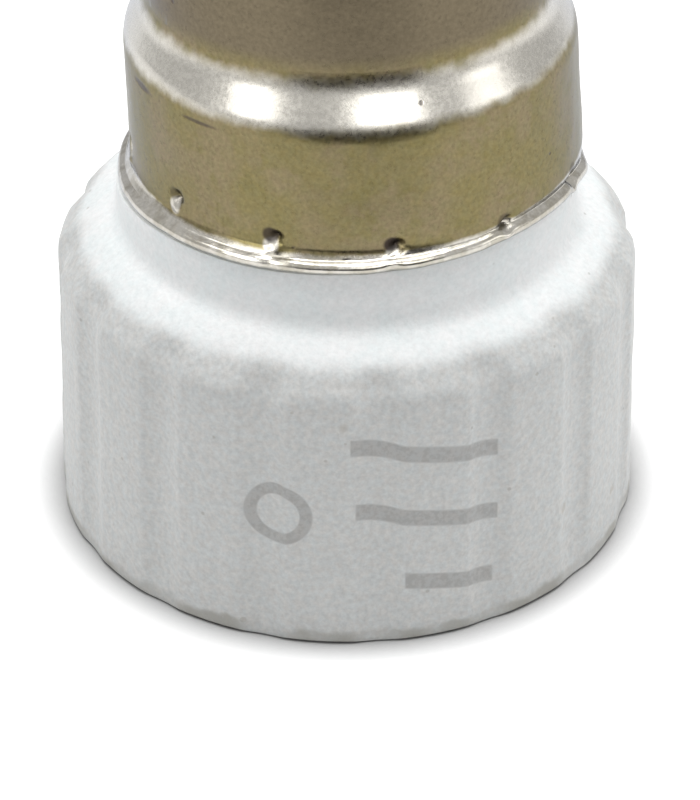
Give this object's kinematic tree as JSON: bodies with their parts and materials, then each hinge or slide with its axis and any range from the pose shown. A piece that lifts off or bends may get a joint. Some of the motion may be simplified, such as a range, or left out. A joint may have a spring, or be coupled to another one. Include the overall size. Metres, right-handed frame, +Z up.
{
  "type": "lamp socket adapter",
  "caption": "Fluted ceramic lampholder for a two-pin twist-lock lamp, on a stepped metal bayonet cap that plugs into a bayonet lamp socket.",
  "frame": {"origin": "centre of the ceramic rim's flat face, which the part stands on", "axes": "+Z up along the ceramic body to the bayonet cap, +X through the two lamp pin holes, and the side shown in the picture faces -Y"},
  "size_m": [0.0328, 0.0328, 0.0481],
  "materials": {
    "housing_ceramic": "matte",
    "inner_ceramic": "matte",
    "cap_metal": "satin",
    "spring_brass": "satin",
    "pin_brass": "satin",
    "screw_steel": "satin",
    "black_glass": "gloss",
    "solder": "satin",
    "copper_wire": "satin",
    "sleeve_fabric": "matte"
  },
  "bodies": {
    "holder": {"housing_body": "housing_ceramic", "socket_face": "inner_ceramic", "contact_carrier": "inner_ceramic", "face_screws": "screw_steel", "lock_washers": "screw_steel", "screw_nuts": "screw_steel", "cap_shell": "cap_metal", "bayonet_pins": "pin_brass", "cap_insulator": "black_glass", "live_tip": "pin_brass", "neutral_tip": "pin_brass", "tip_solder": "solder", "live_wire": "copper_wire", "neutral_wire": "copper_wire", "live_sleeve": "sleeve_fabric", "neutral_sleeve": "sleeve_fabric"},
    "live_spring": {"live_contact": "spring_brass"},
    "neutral_spring": {"neutral_contact": "spring_brass"}
  },
  "joints": [
    {"name": "live_flex", "type": "hinge", "parent": "holder", "child": "live_spring", "pos_m": [0.0102, 0, 0.0108], "axis": [0, 1, 0], "range_deg": [0, 7], "stiffness_Nm_per_rad": 0.06},
    {"name": "neutral_flex", "type": "hinge", "parent": "holder", "child": "neutral_spring", "pos_m": [-0.0102, 0, 0.0108], "axis": [0, -1, 0], "range_deg": [0, 7], "stiffness_Nm_per_rad": 0.06}
  ]
}
